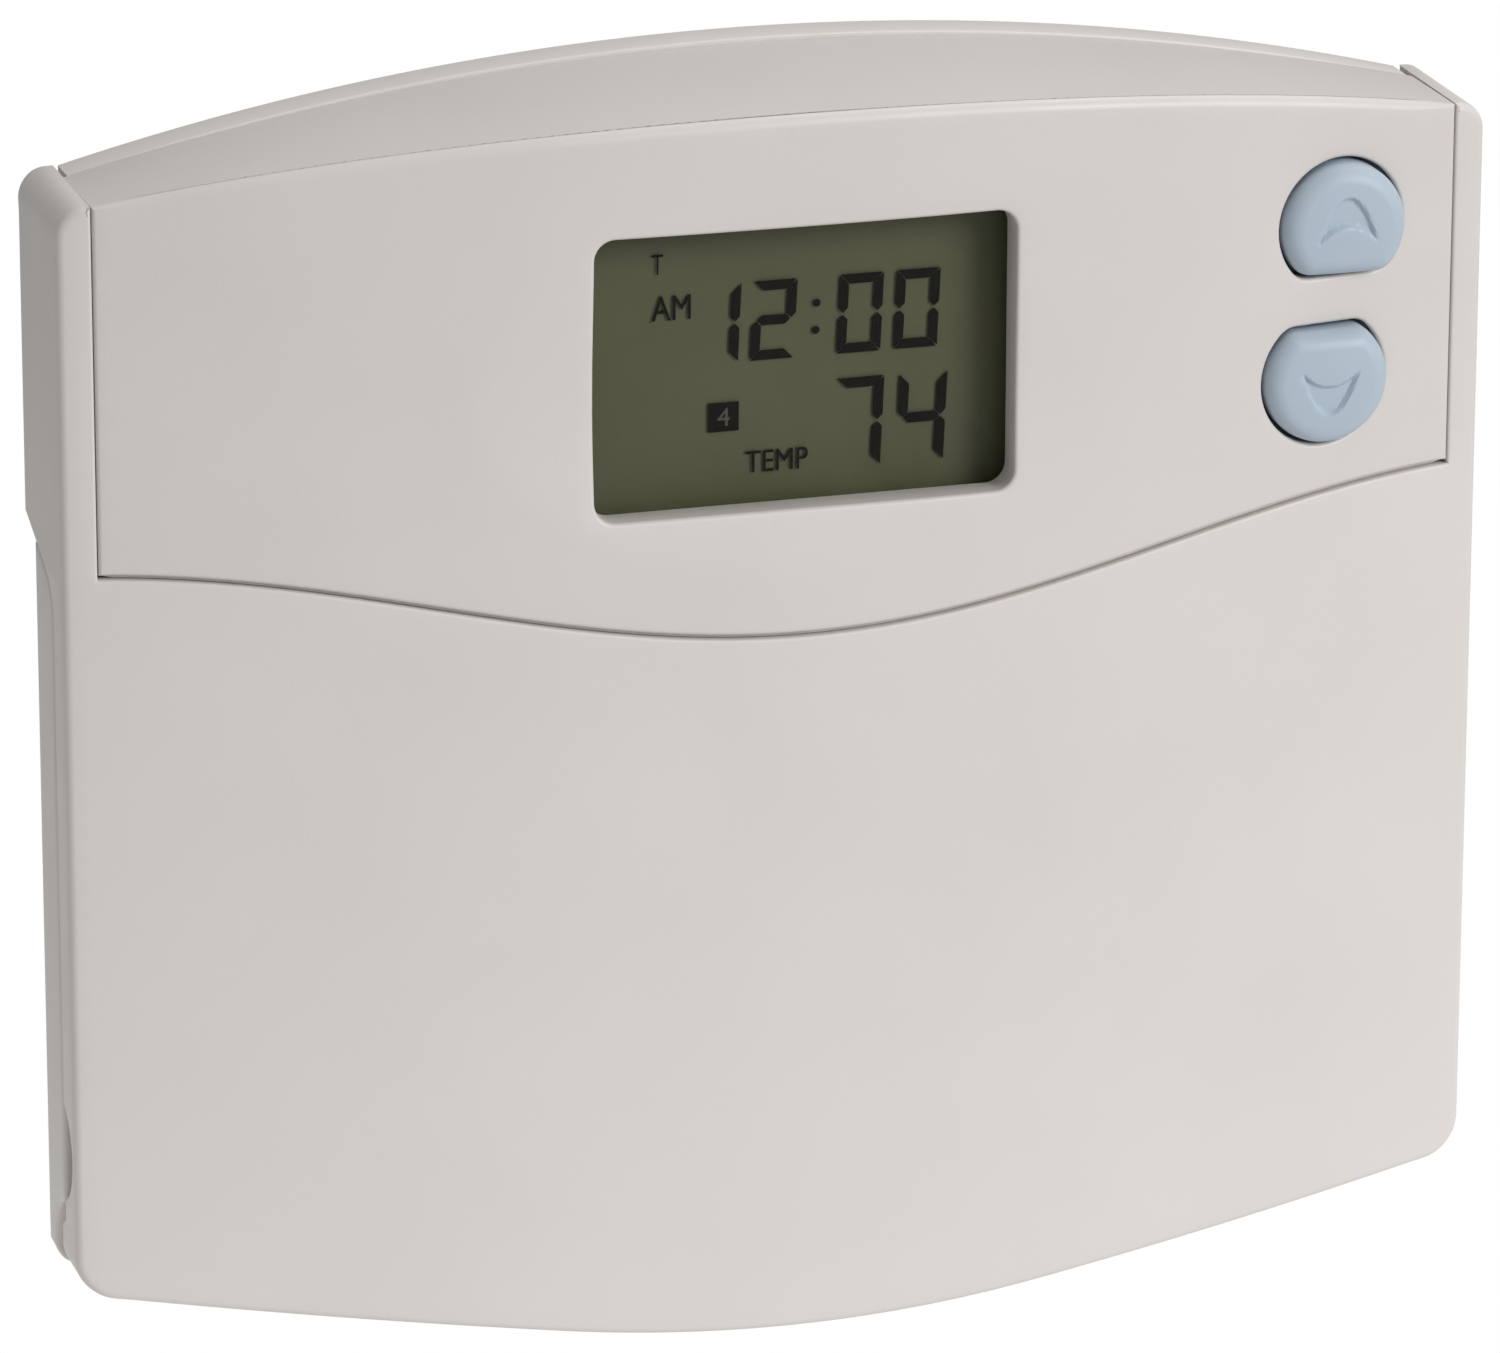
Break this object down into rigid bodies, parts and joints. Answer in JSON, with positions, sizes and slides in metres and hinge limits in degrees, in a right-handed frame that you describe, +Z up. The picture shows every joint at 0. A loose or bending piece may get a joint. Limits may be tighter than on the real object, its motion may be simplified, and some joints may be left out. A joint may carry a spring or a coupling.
{
  "type": "wall thermostat",
  "caption": "Low-profile wall thermostat with a bowed front, a display in a shallow dish, two blue buttons and a flip-down door over keys, slide switches and cells.",
  "frame": {"origin": "on the back face of the wall plate, on the thermostat's centre line, 4 mm above the wires' opening", "axes": "+Z up the wall, +X to the right seen from the room, +Y into the wall, so the front faces -Y"},
  "size_m": [0.14, 0.028, 0.1234],
  "materials": {
    "casing": "fine-textured warm off-white moulded plastic",
    "button_blue": "soft satin pale blue plastic",
    "key_grey": "satin light grey plastic",
    "slider_grey": "ribbed dark grey plastic",
    "lcd": "olive grey reflective liquid-crystal cell with dark segments",
    "lens": "thin clear plastic window",
    "steel": "plated steel",
    "spring_steel": "nickel-plated spring steel",
    "brass": "plated brass pins",
    "board": "green solder mask on glass-fibre board",
    "black_plastic": "matte black plastic",
    "relay_blue": "matte blue plastic",
    "terminal_green": "matte green plastic",
    "rubber": "layered conductive rubber",
    "cell_jacket": "printed shrink sleeve on a steel can"
  },
  "bodies": {
    "thermostat": {"wall_plate": "casing", "rear_case": "casing", "front_case": "casing", "terminal_block": "terminal_green", "terminal_screw_1": "steel", "terminal_screw_2": "steel", "terminal_screw_3": "steel", "terminal_screw_4": "steel", "terminal_screw_5": "steel", "display_lens": "lens", "lcd_cell": "lcd", "lcd_frame": "black_plastic", "lcd_connector_upper": "rubber", "lcd_connector_lower": "rubber", "circuit_board": "board", "board_screw_1": "steel", "board_screw_2": "steel", "board_screw_3": "steel", "board_screw_4": "steel", "microcontroller": "black_plastic", "heat_relay": "relay_blue", "cool_relay": "relay_blue", "fan_relay": "relay_blue", "thermistor": "black_plastic", "crystal": "steel", "capacitor": "black_plastic", "contact_header": "brass", "up_switch": "black_plastic", "down_switch": "black_plastic", "day_key_switch": "steel", "time_key_switch": "steel", "program_key_switch": "steel", "hold_key_switch": "steel", "return_key_switch": "steel", "filter_key_switch": "steel", "system_switch": "steel", "fan_switch": "steel", "battery_upper": "cell_jacket", "battery_contact_upper": "spring_steel", "battery_spring_upper": "spring_steel", "battery_lower": "cell_jacket", "battery_contact_lower": "spring_steel", "battery_spring_lower": "spring_steel"},
    "door": {"door": "casing"},
    "up_button": {"up_button": "button_blue"},
    "down_button": {"down_button": "button_blue"},
    "system_slider": {"system_slider": "slider_grey"},
    "fan_slider": {"fan_slider": "slider_grey"},
    "day_key": {"day_key": "key_grey"},
    "time_key": {"time_key": "key_grey"},
    "program_key": {"program_key": "key_grey"},
    "hold_key": {"hold_key": "key_grey"},
    "return_key": {"return_key": "key_grey"},
    "filter_key": {"filter_key": "key_grey"}
  },
  "joints": [
    {"name": "door_hinge", "type": "hinge", "parent": "thermostat", "child": "door", "pos_m": [0, -0.016, -0.0506], "axis": [1, 0, 0], "range_deg": [0, 88]},
    {"name": "up_button_press", "type": "slide", "parent": "thermostat", "child": "up_button", "axis": [0, 1, 0], "range_m": [0, 0.0008], "stiffness_N_per_m": 2000},
    {"name": "down_button_press", "type": "slide", "parent": "thermostat", "child": "down_button", "axis": [0, 1, 0], "range_m": [0, 0.0008], "stiffness_N_per_m": 2000},
    {"name": "day_key_press", "type": "slide", "parent": "thermostat", "child": "day_key", "axis": [0, 1, 0], "range_m": [0, 0.0007], "stiffness_N_per_m": 1700},
    {"name": "time_key_press", "type": "slide", "parent": "thermostat", "child": "time_key", "axis": [0, 1, 0], "range_m": [0, 0.0007], "stiffness_N_per_m": 1700},
    {"name": "program_key_press", "type": "slide", "parent": "thermostat", "child": "program_key", "axis": [0, 1, 0], "range_m": [0, 0.0007], "stiffness_N_per_m": 1700},
    {"name": "hold_key_press", "type": "slide", "parent": "thermostat", "child": "hold_key", "axis": [0, 1, 0], "range_m": [0, 0.0007], "stiffness_N_per_m": 1700},
    {"name": "return_key_press", "type": "slide", "parent": "thermostat", "child": "return_key", "axis": [0, 1, 0], "range_m": [0, 0.0007], "stiffness_N_per_m": 1700},
    {"name": "filter_key_press", "type": "slide", "parent": "thermostat", "child": "filter_key", "axis": [0, 1, 0], "range_m": [0, 0.0007], "stiffness_N_per_m": 1700},
    {"name": "system_slide", "type": "slide", "parent": "thermostat", "child": "system_slider", "axis": [1, 0, 0], "range_m": [-0.003, 0.003]},
    {"name": "fan_slide", "type": "slide", "parent": "thermostat", "child": "fan_slider", "axis": [1, 0, 0], "range_m": [0, 0.004]}
  ]
}
